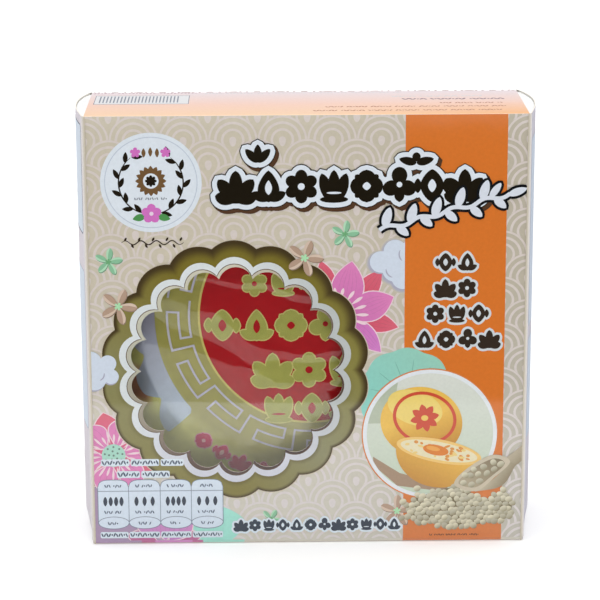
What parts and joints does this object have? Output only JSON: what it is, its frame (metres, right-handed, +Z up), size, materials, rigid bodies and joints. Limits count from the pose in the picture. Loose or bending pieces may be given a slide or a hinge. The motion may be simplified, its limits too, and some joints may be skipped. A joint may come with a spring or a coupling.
{
  "type": "boxed pastry",
  "caption": "Bean paste pastry in a shut printed carton: upright paperboard box with a scalloped window, clear window film and a film-wrapped round cake inside.",
  "frame": {"origin": "middle of the carton's foot, on the surface that it stands on", "axes": "+Z up along the carton's height, +Y from the windowed front to the back, +X to the right as seen from the front"},
  "size_m": [0.169, 0.0504, 0.1617],
  "materials": {
    "printed_board": "satin coated paperboard, printed in tan with a pale wave pattern, an orange band and small ornaments",
    "window_film": "thin clear glossy film",
    "pouch_film": "glossy printed film, deep red disc and old gold ring with a key pattern"
  },
  "bodies": {
    "root": {"carton": "printed_board", "window_film": "window_film", "wrapped_pastry": "pouch_film"}
  },
  "joints": []
}
